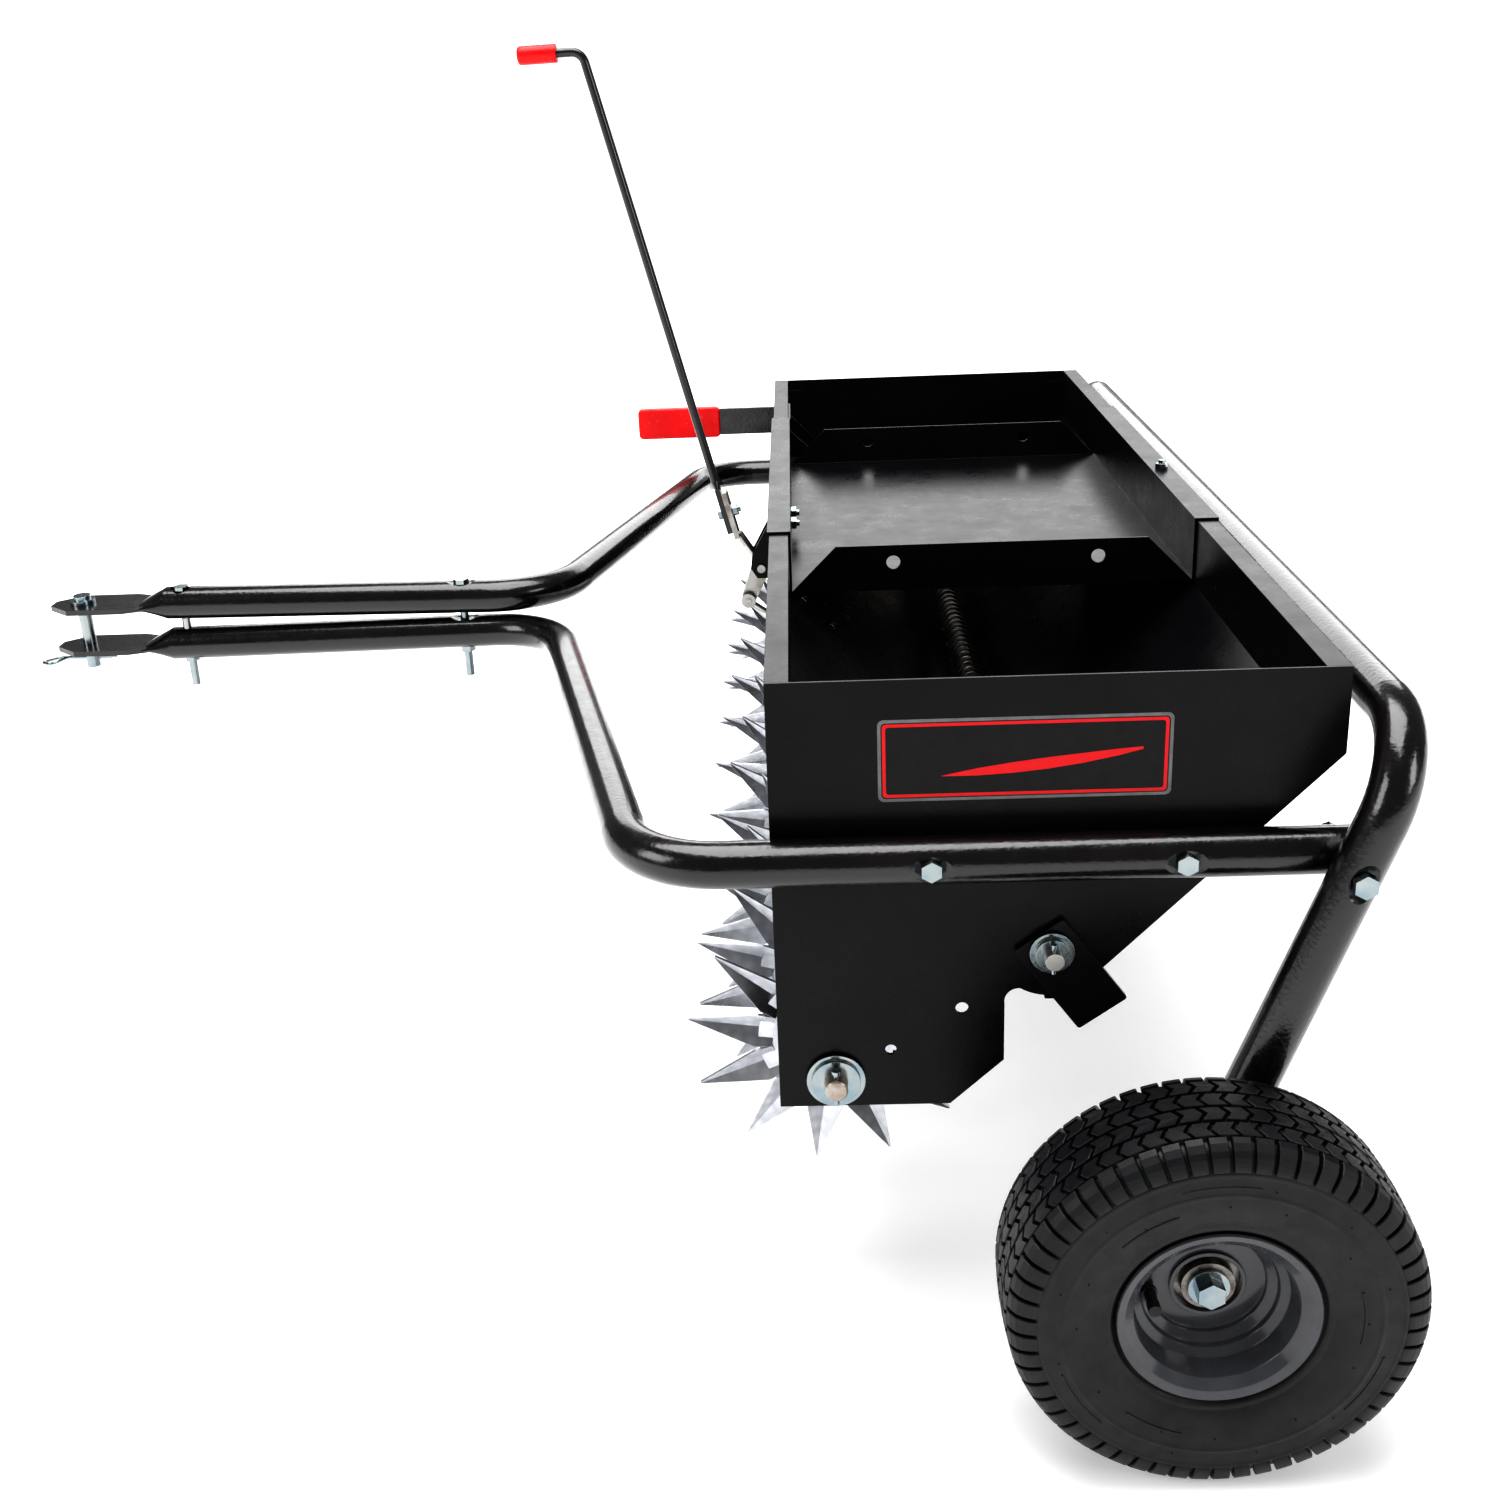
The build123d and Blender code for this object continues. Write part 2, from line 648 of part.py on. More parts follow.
with BuildPart() as agitator_washers:
    for way in (LEFT, RIGHT):
        ring(facing(agitator_x, way[1] * 513.3, agitator_z, way), 30, agitator_d + 0.2, 1.8)
        ring(facing(agitator_x, way[1] * (coil_length / 2 + 2), agitator_z, way), 26, agitator_d, 4)
    ring(facing(agitator_x, 515.2, agitator_z, LEFT), 23, agitator_d + 0.2, 3)
    for y in (521.5, -532):
        rod(facing(agitator_x, y, agitator_z + 10.5, DOWN), 3.5, 22)


# ---- flow gate ----
# The lever's tail and the gate's lug are cranks on one link; halfway through the swing both
# stand square to the link.
link_lean = degrees(atan2(agitator_z - lever_z, agitator_x - lever_x))
link_gap = hypot(agitator_z - lever_z, agitator_x - lever_x)
crank_lean = link_lean + degrees(acos((lever_tail - gate_lug) / link_gap))
tail_x, tail_z = polar(lever_x, lever_z, lever_tail, crank_lean - lever_swing / 2)
lug_lean = crank_lean - gate_swing / 2
lug_x, lug_z = around(gate_lug, lug_lean)
gate_rear = -135.0
gate_front = -85.0

with BuildPart() as gate_plate:
    # A curved strip round the trough, with a lug for the link at the machine's middle.
    with BuildSketch(section(gate_y)):
        with Locations((agitator_x, agitator_z)):
            Circle(gate_r + thin)
            Circle(gate_r, mode=Mode.SUBTRACT)
        with BuildLine():
            Polyline((agitator_x, agitator_z), around(90, gate_rear), around(90, gate_front), close=True)
        make_face(mode=Mode.INTERSECT)
    extrude(amount=2 * gate_y)
    # Shut, its outlets stand behind the trough's by the gate's whole swing.
    shut = radians(-90 - gate_swing)
    shut_x, shut_z = around(25, -90 - gate_swing)
    with BuildSketch(
        Plane(origin=(rim_x + shut_x, 0, rim_z + shut_z), x_dir=LEFT, z_dir=(cos(shut), 0, sin(shut)))
    ):
        with GridLocations(outlet_pitch, 1, outlet_count, 1):
            RectangleRounded(outlet_long, outlet_wide, 3)
    extrude(amount=20, mode=Mode.SUBTRACT)
    slab(
        2,
        [
            around(gate_r + 0.6, -100), around(gate_r + 1, gate_front - 1),
            polar(lug_x, lug_z, 8, lug_lean + 100), polar(lug_x, lug_z, 8, lug_lean - 80),
        ],
        4,
    )
    rod(facing(lug_x, 2, lug_z, RIGHT), 16, 4)
    rod(facing(lug_x, 10, lug_z, RIGHT), 6, 10)

with BuildPart() as gate_arms:
    with BuildSketch(section(gate_y + 3.5)):
        with Locations(Location((agitator_x, agitator_z, 0), (0, 0, -126))):
            with Locations((23, 0)):
                RectangleRounded(76, 40, 2)
            Circle(19.12 / 2, mode=Mode.SUBTRACT)
    extrude(amount=3.5)
    mirror(about=Plane.XZ)

with BuildPart() as gate_link:
    lean = atan2(lug_z - tail_z, lug_x - tail_x)
    rod(
        facing(tail_x, link_y, tail_z, (cos(lean), 0, sin(lean))), 5,
        hypot(lug_z - tail_z, lug_x - tail_x),
    )
    rod(facing(tail_x, link_y + 3, tail_z, RIGHT), 14, 6)
    rod(facing(lug_x, link_y + 3, lug_z, RIGHT), 16, 6)
    bore(facing(tail_x, 12, tail_z, RIGHT), 6.12, 11)
    bore(facing(lug_x, 12, lug_z, RIGHT), 7.4, 11)


# ---- control lever and rod ----
along_x = cos(radians(rod_lean))
along_z = sin(radians(rod_lean))


def on_rod(distance, behind=0.0):
    """Point up the control rod's line from its foot, and behind it."""
    return (
        rod_foot[0] + distance * along_x - behind * along_z,
        rod_foot[1] + distance * along_z + behind * along_x,
    )


clamp_x, clamp_z = on_rod(20)
clamp_face = facing(clamp_x, 0, clamp_z, (along_z, 0, -along_x))
plate_front = flat_thick / 2 + 0.1
plate_rear = plate_front + flat_thick

with BuildPart() as control_lever:
    # Cross pin and boss, tail plate with its link pin, lower bar and the plate for the rod.
    rod(facing(lever_x, 13.5, lever_z, RIGHT), 8, 27)
    rod(facing(lever_x, 7, lever_z, RIGHT), 18, 14)
    with BuildSketch(section(2.5)):
        with Locations((lever_x, lever_z)):
            Circle(9)
        with Locations((tail_x, tail_z)):
            Circle(7)
        make_hull()
    extrude(amount=5)
    rod(facing(tail_x, 10, tail_z, RIGHT), 6, 10)
    foot_x, foot_z = on_rod(-3, 6.8)
    lean = atan2(foot_z - lever_z, foot_x - lever_x)
    rod(
        facing(lever_x, 0, lever_z, (cos(lean), 0, sin(lean))), rod_d,
        hypot(foot_z - lever_z, foot_x - lever_x),
    )
    slab(
        9,
        [on_rod(-6, plate_front), on_rod(40, plate_front), on_rod(40, plate_rear), on_rod(-6, plate_rear)],
        18,
    )
    bore(clamp_face.offset(-plate_rear - 2), 6.5, flat_thick + 4)

rod_corner = on_rod(rod_length)
with BuildPart() as control_rod:
    neck_x, neck_z = on_rod(flat_long + 10)
    pipe(
        [
            (neck_x, 0, neck_z), (rod_corner[0], 0, rod_corner[1]),
            (rod_corner[0] + rod_tip, 0, rod_corner[1] - 1.4),
        ],
        12,
        rod_d,
    )
    # The lower end is pressed flat for the clamp bolt.
    end_x, end_z = on_rod(flat_long)
    pressed = Plane(
        origin=(rim_x + end_x, 0, rim_z + end_z), x_dir=LEFT, z_dir=(along_x, 0, along_z)
    )
    with BuildSketch(pressed):
        Ellipse(7, flat_thick / 2)
    with BuildSketch(pressed.offset(10)):
        Circle(rod_d / 2)
    loft()
    slab(
        7,
        [
            on_rod(0, -flat_thick / 2), on_rod(flat_long + 2, -flat_thick / 2),
            on_rod(flat_long + 2, flat_thick / 2), on_rod(0, flat_thick / 2),
        ],
        14,
    )
    bore(clamp_face.offset(-5), 6.5, 10)

with BuildPart() as rod_cap:
    tip_face = facing(rod_corner[0] + rod_tip, 0, rod_corner[1] - 1.4, (rod_tip, 0, -1.4))
    rod(tip_face.offset(-30), 16, 34)
    fillet(rod_cap.edges().group_by(Axis.X)[-1], 3)
    bore(tip_face.offset(-31), rod_d, 31)

with BuildPart() as clamp_bolt:
    hex_bolt(clamp_face.offset(flat_thick / 2 + 0.1), 6, 10, 18)
    ring(clamp_face.offset(-plate_rear - 0.1), 10, 6.1, -5, sides=6)


# ---- wheel frame ----
leg_lean = atan2(frame_top - hub_z, frame_rear - hub_x)
leg_up = (cos(leg_lean), 0, sin(leg_lean))
leg_down = (-cos(leg_lean), 0, -sin(leg_lean))


def on_leg(distance, y):
    """Point on a leg's axis above the hub."""
    return (hub_x + distance * leg_up[0], y, hub_z + distance * leg_up[2])


def leg_plane(distance):
    """Plane across the left leg, facing down it, with its local y along the machine's width."""
    x, y, z = on_leg(distance, frame_y)
    return Plane(origin=(rim_x + x, y, rim_z + z), x_dir=(-leg_up[2], 0, leg_up[0]), z_dir=leg_down)


frame_run = [
    on_leg(leg_round, frame_y), (frame_rear, frame_y, frame_top),
    (frame_rear, -frame_y, frame_top), on_leg(leg_round, -frame_y),
]

with BuildPart() as frame_bore:
    pipe(frame_run, frame_bend, tube_d - 2 * tube_wall)
    for side in (-1, 1):
        dent(pivot_x, side * (frame_y + dent_reach), tow_z, dent_r + tube_wall)

with BuildPart() as frame_foot:
    # The flattened lower end of the left leg, drilled for the wheel bolt.
    with BuildSketch(leg_plane(leg_round)):
        Circle(tube_r)
    with BuildSketch(leg_plane(leg_neck)):
        Ellipse(tab_width / 2 - 3, tab_thick / 2)
    loft()
    with BuildSketch(section(frame_y + tab_thick / 2)):
        with Locations(Location((hub_x, hub_z, 0), (0, 0, degrees(leg_lean)))):
            with Locations((8, 0)):
                RectangleRounded(56, tab_width - 4, 14)
    extrude(amount=tab_thick)
    bore(facing(hub_x, frame_y + 10, hub_z, RIGHT), wheel_bolt_d + 0.2, 20)

with BuildPart() as wheel_frame_tube:
    pipe(frame_run, frame_bend, tube_d)
    for side in (-1, 1):
        dent(pivot_x, side * (frame_y + dent_reach), tow_z, dent_r)
    add(frame_bore.part, mode=Mode.SUBTRACT)
    add(frame_foot.part)
    mirror(frame_foot.part, about=Plane.XZ)
    for way in (LEFT, RIGHT):
        bore(facing(pivot_x, -way[1] * (frame_y + 20), tow_z, way), pivot_d + 0.12, 40)
    for distance in handle_bolts_at:
        bore(facing(*on_leg(distance, -frame_y - 20), LEFT), small_bolt_d + 0.4, 50)

with BuildPart() as pivot_bolts:
    hex_bolt(facing(pivot_x, frame_y + head_seat + 0.6, tow_z, LEFT), pivot_d, 14.3, 74)
    nut(facing(pivot_x, tow_y - tube_r - 0.1, tow_z, RIGHT), pivot_d, 14.3)
    mirror(about=Plane.XZ)

with BuildPart() as transport_handle:
    # A flat bar whose rear end turns down into a lug on the leg.
    slab(
        bar_left,
        [
            (-372, -38), (172, -38), (172, -71), (-362, -71), (-374, -95), (-392, -95),
            (-398, -75), (-377, -70),
        ],
        bar_thick,
    )
    for distance in handle_bolts_at:
        bore(facing(*on_leg(distance, bar_left - 10), LEFT), small_bolt_d + 0.4, 20)

with BuildPart() as handle_grip:
    with BuildSketch(section(bar_left + 3.5)):
        with Locations((124, -54.5)):
            RectangleRounded(104, 38.5, 6)
    extrude(amount=12)
    fillet(handle_grip.edges().filter_by(Axis.X), 2.5)
    with BuildSketch(section(bar_left)):
        with Locations((112, -54.5)):
            Rectangle(120, 33)
    extrude(amount=bar_thick, mode=Mode.SUBTRACT)

spacer_d = 11.0
with BuildPart() as handle_bolts:
    # Two bolts with spacers between the bar and the leg, which already bends in at the upper one.
    leg_long = hypot(frame_rear - hub_x, frame_top - hub_z)
    for distance in handle_bolts_at:
        into_bend = max(0, distance + spacer_d / 2 - leg_long + frame_bend)
        leg_side = -frame_y + frame_bend - sqrt((frame_bend - tube_r) ** 2 - into_bend**2)
        spacer = bar_left - bar_thick - leg_side - 0.2
        seat = facing(*on_leg(distance, -frame_y - tube_r - 0.1), RIGHT)
        hex_bolt(seat, small_bolt_d, small_flats, 48)
        ring(facing(*on_leg(distance, leg_side + 0.1), LEFT), spacer_d, small_bolt_d + 0.1, spacer)
        nut(facing(*on_leg(distance, bar_left + 0.1), LEFT), small_bolt_d, small_flats)


# ---- wheels ----
def wheel_plane(way):
    """Upright plane through a wheel's axis: local x runs outward from its middle, local y up."""
    return Plane(origin=(rim_x + hub_x, way * wheel_y, rim_z + hub_z), x_dir=(0, way, 0), z_dir=(way, 0, 0))


wheel_line = Axis((rim_x + hub_x, 0, rim_z + hub_z), LEFT)

with BuildPart() as rim_left:
    # Two pressed halves back to back, and the short tube that holds the bearing.
    half_line = [
        (0, 21.8), (0, 38.5), (3, 39.5), (6.5, 45), (9.5, 46), (13, 51.5), (27, 54), (31, 59.5), (33, 64.5),
    ]
    with BuildSketch(wheel_plane(1)) as rim_profile:
        with BuildLine():
            Polyline(*folded(half_line, 2), close=True)
        make_face()
        mirror(about=Plane.YZ)
        with BuildLine():
            Polyline((-24, 21.8), (-24, 24.5), (4, 24.5), (4, 21.8), close=True)
        make_face()
    revolve(axis=wheel_line)
    bore(facing(hub_x + 38.5, wheel_y - 15, hub_z, LEFT), 7.9, 30)

with BuildPart() as tyre_left:
    with BuildSketch(wheel_plane(1)):
        with BuildLine():
            Polyline((16, 60), (15, 52.4), (25.5, 54.3), (30.2, 60.6), (32, 65.5))
            ThreePointArc((32, 65.5), (tyre_half, 98), (35, 124))
            ThreePointArc((35, 124), (32.5, 129), (27, 131.6))
            ThreePointArc((27, 131.6), (0, tyre_r), (-27, 131.6))
            ThreePointArc((-27, 131.6), (-32.5, 129), (-35, 124))
            ThreePointArc((-35, 124), (-tyre_half, 98), (-32, 65.5))
            Polyline((-32, 65.5), (-30.2, 60.6), (-25.5, 54.3), (-15, 52.4), (-16, 60))
            ThreePointArc((-16, 60), (-34, 96), (-28, 121))
            ThreePointArc((-28, 121), (0, 125.5), (28, 121))
            ThreePointArc((28, 121), (34, 96), (16, 60))
        make_face()
    revolve(axis=wheel_line)

with BuildPart() as hub_bearing_left:
    ring(facing(hub_x, 562, hub_z, LEFT), 35, wheel_bolt_d + 0.12, 59.3)
    ring(facing(hub_x, wheel_y - 24, hub_z, LEFT), 43.4, 35, 22)

with BuildPart() as valve_stem_left:
    rod(facing(hub_x + 38.5, wheel_y - 4, hub_z, LEFT), 7.5, 26)
    rod(facing(hub_x + 38.5, wheel_y + 8.4, hub_z, LEFT), 10, 2.6)
    rod(facing(hub_x + 38.5, wheel_y + 20, hub_z, LEFT), 8.4, 7)

with BuildPart() as wheel_bolts:
    hex_bolt(facing(hub_x, 624.1, hub_z, LEFT), wheel_bolt_d, 17, 84)
    ring(facing(hub_x, 621.6, hub_z, LEFT), 27, wheel_bolt_d + 0.2, 2.4)
    ring(facing(hub_x, 558.8, hub_z, LEFT), 27, wheel_bolt_d + 0.2, 2.8)
    nut(facing(hub_x, 553.6, hub_z, RIGHT), wheel_bolt_d, 17)
    mirror(about=Plane.XZ)

with BuildPart() as rim_right:
    mirror(rim_left.part, about=Plane.XZ)

with BuildPart() as tyre_right:
    mirror(tyre_left.part, about=Plane.XZ)

with BuildPart() as hub_bearing_right:
    mirror(hub_bearing_left.part, about=Plane.XZ)

with BuildPart() as valve_stem_right:
    mirror(valve_stem_left.part, about=Plane.XZ)


# ---- every finished piece, labelled and written ----
pieces = {
    "end_panel_left": end_panel_left,
    "end_panel_right": end_panel_right,
    "side_labels": side_labels,
    "hopper_front": hopper_front,
    "hopper_rear": hopper_rear,
    "trough": trough,
    "centre_tray": centre_tray,
    "inner_bracket": inner_bracket,
    "control_bracket": control_bracket,
    "handle_catch": handle_catch,
    "hopper_bolts": hopper_bolts,
    "shaft_bushings": shaft_bushings,
    "tow_tube_left": tow_tube_left,
    "tow_tube_right": tow_tube_right,
    "tube_bolts": tube_bolts,
    "tongue_bolts": tongue_bolts,
    "hitch_pin": hitch_pin,
    "hitch_clip": hitch_clip,
    "spike_axle": spike_axle,
    "axle_spacers": axle_spacers,
    "axle_washers": axle_washers,
    "axle_sprocket": axle_sprocket,
    "agitator_sprocket": agitator_sprocket,
    "drive_chain": drive_chain,
    "agitator_shaft": agitator_shaft,
    "agitator_coil": agitator_coil,
    "agitator_washers": agitator_washers,
    "gate_plate": gate_plate,
    "gate_arms": gate_arms,
    "gate_link": gate_link,
    "control_lever": control_lever,
    "control_rod": control_rod,
    "rod_cap": rod_cap,
    "clamp_bolt": clamp_bolt,
    "wheel_frame_tube": wheel_frame_tube,
    "pivot_bolts": pivot_bolts,
    "transport_handle": transport_handle,
    "handle_grip": handle_grip,
    "handle_bolts": handle_bolts,
    "rim_left": rim_left,
    "rim_right": rim_right,
    "tyre_left": tyre_left,
    "tyre_right": tyre_right,
    "hub_bearing_left": hub_bearing_left,
    "hub_bearing_right": hub_bearing_right,
    "valve_stem_left": valve_stem_left,
    "valve_stem_right": valve_stem_right,
    "wheel_bolts": wheel_bolts,
}
for i, spike_star in enumerate(spike_stars):
    pieces[f"spike_star_{i + 1:02d}"] = spike_star

for name, piece in pieces.items():
    piece.part.label = name
    export_step(piece.part, f"parts/{name}.step")
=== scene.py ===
import json
from math import cos, pi, radians, sin

import bpy
import numpy as np
from mathutils import Matrix, Vector


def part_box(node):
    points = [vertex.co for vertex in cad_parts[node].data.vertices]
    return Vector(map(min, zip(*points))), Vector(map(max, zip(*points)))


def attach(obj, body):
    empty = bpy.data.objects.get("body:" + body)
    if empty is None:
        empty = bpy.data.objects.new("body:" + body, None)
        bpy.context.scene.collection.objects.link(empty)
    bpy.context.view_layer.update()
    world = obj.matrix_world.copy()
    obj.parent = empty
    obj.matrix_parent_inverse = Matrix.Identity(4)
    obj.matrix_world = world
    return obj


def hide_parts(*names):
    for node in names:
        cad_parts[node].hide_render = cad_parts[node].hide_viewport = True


# Looks of the tow-behind spike aerator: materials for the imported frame, detailed tyres with their
# tread, printed side labels, and the camera, floor and lights. Metres, in the row frame.

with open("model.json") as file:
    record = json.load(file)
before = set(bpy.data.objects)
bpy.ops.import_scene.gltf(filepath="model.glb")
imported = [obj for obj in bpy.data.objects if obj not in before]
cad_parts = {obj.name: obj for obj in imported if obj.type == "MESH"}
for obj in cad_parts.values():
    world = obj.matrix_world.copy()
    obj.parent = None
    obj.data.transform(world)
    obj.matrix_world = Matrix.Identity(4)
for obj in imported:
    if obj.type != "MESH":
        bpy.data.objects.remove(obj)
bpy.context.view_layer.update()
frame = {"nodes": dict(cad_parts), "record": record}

# ---- camera ----
LABEL_TO_LIP = 0.262      # from the rear end of the labels to the hopper's front lip
LIP_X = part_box("side_labels")[0].x + LABEL_TO_LIP
CAMERA_AT = (LIP_X - 0.0280, 1.4475, 0.8876)
PITCH, YAW, ROLL = radians(18.70), radians(2.08), radians(2.48)
LENS = 37.97
FRAME_SHIFT = -0.1        # the photograph's frame reaches further down than up from the lens axis

turn = Matrix.Rotation(YAW, 3, "Z")
forward = Vector((0, -cos(PITCH), -sin(PITCH)))
upright = Vector((0, -sin(PITCH), cos(PITCH)))
across = turn @ forward.cross(upright)
forward, upright = turn @ forward, turn @ upright
up = upright * cos(ROLL) + across * sin(ROLL)
right = across * cos(ROLL) - upright * sin(ROLL)

camera_data = bpy.data.cameras.new("camera")
camera_data.sensor_width = 36
camera_data.lens = LENS
camera_data.shift_y = FRAME_SHIFT
camera = bpy.data.objects.new("camera", camera_data)
bpy.context.scene.collection.objects.link(camera)
camera.matrix_world = Matrix.Translation(CAMERA_AT) @ Matrix((right, up, -forward)).transposed().to_4x4()
bpy.context.scene.camera = camera
bpy.context.scene.view_settings.view_transform = "Standard"
bpy.context.scene.view_settings.look = "High Contrast"


# ---- material nodes ----
class Tree:
    """A material with its Principled shader, and short calls for the nodes that feed it."""

    def __init__(self, name, **values):
        self.material = bpy.data.materials.new(name)
        self.material.use_nodes = True
        self.nodes = self.material.node_tree.nodes
        self.links = self.material.node_tree.links
        self.shader = self.nodes["Principled BSDF"]
        for socket, value in values.items():
            self.set(socket.replace("_", " "), value)
        self.place = self.nodes.new("ShaderNodeTexCoord").outputs["Object"]

    def set(self, socket, value):
        """Puts a number or colour on the shader, or links an output to it."""
        target = self.shader.inputs[socket]
        if isinstance(value, bpy.types.NodeSocket):
            self.links.new(value, target)
        elif isinstance(value, tuple) and len(value) == 3:
            target.default_value = (*value, 1)
        else:
            target.default_value = value

    def feed(self, node, socket, value):
        """Puts a number or colour on a node's socket, or links an output to it."""
        if isinstance(value, bpy.types.NodeSocket):
            self.links.new(value, node.inputs[socket])
        elif isinstance(value, tuple) and len(value) == 3 and node.inputs[socket].type == "RGBA":
            node.inputs[socket].default_value = (*value, 1)
        else:
            node.inputs[socket].default_value = value

    def stretched(self, scale):
        """The place on the piece with its axes scaled, so that a grain runs along one of them."""
        node = self.nodes.new("ShaderNodeMapping")
        node.vector_type = "POINT"
        self.feed(node, "Vector", self.place)
        self.feed(node, "Scale", scale)
        return node.outputs["Vector"]

    def noise(self, scale, detail, roughness, stretch=None):
        node = self.nodes.new("ShaderNodeTexNoise")
        self.feed(node, "Vector", self.stretched(stretch) if stretch else self.place)
        self.feed(node, "Scale", scale)
        self.feed(node, "Detail", detail)
        self.feed(node, "Roughness", roughness)
        return node.outputs["Fac"]

    def cells(self, scale):
        """How far a point is from the middle of the crystal that it is in."""
        node = self.nodes.new("ShaderNodeTexVoronoi")
        self.feed(node, "Vector", self.place)
        self.feed(node, "Scale", scale)
        return node.outputs["Distance"]

    def span(self, value, low, high, to_low=0.0, to_high=1.0):
        """A value's stretch from low to high, mapped to another stretch and held at its ends."""
        node = self.nodes.new("ShaderNodeMapRange")
        self.feed(node, "Value", value)
        self.feed(node, "From Min", low)
        self.feed(node, "From Max", high)
        self.feed(node, "To Min", to_low)
        self.feed(node, "To Max", to_high)
        return node.outputs["Result"]

    def mix(self, factor, a, b):
        """One colour turning to another. The Mix node's colour sockets are known by number alone."""
        node = self.nodes.new("ShaderNodeMix")
        node.data_type = "RGBA"
        self.feed(node, 0, factor)
        self.feed(node, 6, a)
        self.feed(node, 7, b)
        return node.outputs[2]

    def times(self, a, b):
        node = self.nodes.new("ShaderNodeMath")
        node.operation = "MULTIPLY"
        self.feed(node, 0, a)
        self.feed(node, 1, b)
        return node.outputs[0]

    def rough(self, scale, detail, roughness, smoothest, roughest):
        """Roughness that varies in clouds of a size."""
        self.set("Roughness", self.span(self.noise(scale, detail, roughness), 0.3, 0.7, smoothest, roughest))

    def rounded(self, radius):
        """The normal as it is with every edge rounded to a radius."""
        node = self.nodes.new("ShaderNodeBevel")
        node.samples = 4
        self.feed(node, "Radius", radius)
        return node.outputs["Normal"]

    def bump(self, height, strength, distance, normal=None):
        """The normal with a height laid over it."""
        node = self.nodes.new("ShaderNodeBump")
        self.feed(node, "Height", height)
        self.feed(node, "Strength", strength)
        self.feed(node, "Distance", distance)
        if normal is not None:
            self.feed(node, "Normal", normal)
        return node.outputs["Normal"]


def black_sheet():
    """Satin powder coat: fine orange peel, faint clouds in its gloss, and a little dust."""
    t = Tree("black_sheet", Specular_IOR_Level=0.19)
    clouds = t.noise(7, 4, 0.6)
    dust = t.times(t.span(t.noise(420, 2, 0.7), 0.62, 0.72), t.span(clouds, 0.5, 0.75))
    paint = t.mix(t.span(clouds, 0.35, 0.7), (0.0028, 0.0028, 0.0036), (0.0062, 0.0062, 0.0074))
    t.set("Base Color", t.mix(t.times(dust, 0.05), paint, (0.20, 0.20, 0.20)))
    t.rough(38, 4, 0.65, 0.25, 0.34)
    peel = t.bump(t.noise(620, 2, 0.5), 0.10, 0.0006, t.rounded(0.0007))
    t.set("Normal", t.bump(t.noise(140, 3, 0.5), 0.05, 0.0015, peel))
    return t.material


def black_tube():
    """Gloss coat on tube: hammered on a scale of a few millimetres under a smoother top film."""
    t = Tree("black_tube", Specular_IOR_Level=0.45, Coat_Weight=0.45, Coat_Roughness=0.07)
    clouds = t.noise(11, 4, 0.6)
    paint = t.mix(t.span(clouds, 0.35, 0.7), (0.0030, 0.0026, 0.0030), (0.0080, 0.0062, 0.0068))
    t.set("Base Color", paint)
    t.rough(90, 3, 0.6, 0.16, 0.27)
    hammered = t.bump(t.noise(330, 1, 0.4), 0.22, 0.0010)
    t.set("Normal", t.bump(t.noise(800, 2, 0.5), 0.10, 0.0005, hammered))
    return t.material


def black_rod():
    """Gloss enamel on round bar, with light rub marks along it."""
    t = Tree("black_rod", Coat_Weight=0.3, Coat_Roughness=0.12)
    rubs = t.span(t.noise(60, 5, 0.7, stretch=(1.0, 1.0, 0.15)), 0.60, 0.72)
    t.set("Base Color", t.mix(t.times(rubs, 0.35), (0.008, 0.008, 0.009), (0.05, 0.045, 0.04)))
    t.set("Roughness", t.span(rubs, 0, 1, 0.24, 0.42))
    t.set("Normal", t.bump(t.noise(500, 2, 0.5), 0.08, 0.0005, t.rounded(0.0005)))
    return t.material


def zinc():
    """Zinc plate: cool passivated patches, small stains and fine machining grain."""
    t = Tree("zinc_fastener", Metallic=1.0)
    patches = t.span(t.noise(60, 3, 0.5), 0.35, 0.70)
    plate = t.mix(patches, (0.22, 0.28, 0.31), (0.36, 0.37, 0.36))
    stain = t.span(t.noise(420, 3, 0.6), 0.60, 0.80)
    t.set("Base Color", t.mix(t.times(stain, 0.25), plate, (0.32, 0.32, 0.33)))
    t.rough(240, 3, 0.6, 0.16, 0.26)
    t.set("Normal", t.bump(t.noise(900, 2, 0.5), 0.10, 0.0003, t.rounded(0.0006)))
    return t.material


def galvanised():
    """Galvanised sheet: broad spangle, rolled grain, and a duller film in patches."""
    t = Tree("galvanised_spike", Metallic=1.0)
    spangle = t.cells(120)
    clouds = t.noise(26, 4, 0.6)
    sheet = t.mix(t.span(spangle, 0.1, 0.75), (0.62, 0.63, 0.66), (0.46, 0.47, 0.50))
    t.set("Base Color", t.mix(t.span(clouds, 0.55, 0.8, 0, 0.5), sheet, (0.26, 0.27, 0.29)))
    t.set("Roughness", t.span(clouds, 0.3, 0.7, 0.24, 0.40))
    grain = t.bump(t.noise(420, 3, 0.6, stretch=(1.0, 1.0, 0.2)), 0.10, 0.0004, t.rounded(0.0005))
    t.set("Normal", t.bump(t.noise(60, 2, 0.5), 0.08, 0.0012, grain))
    return t.material


def shaft_steel():
    """Drawn bar: lengthwise grain, brown tarnish in patches."""
    t = Tree("shaft_steel", Metallic=1.0)
    tarnish = t.span(t.noise(34, 5, 0.65), 0.45, 0.70)
    t.set("Base Color", t.mix(tarnish, (0.46, 0.45, 0.43), (0.27, 0.21, 0.16)))
    t.set("Roughness", t.span(tarnish, 0, 1, 0.28, 0.50))
    t.set("Normal", t.bump(t.noise(800, 3, 0.6, stretch=(1.0, 0.06, 1.0)), 0.14, 0.0003, t.rounded(0.0004)))
    return t.material


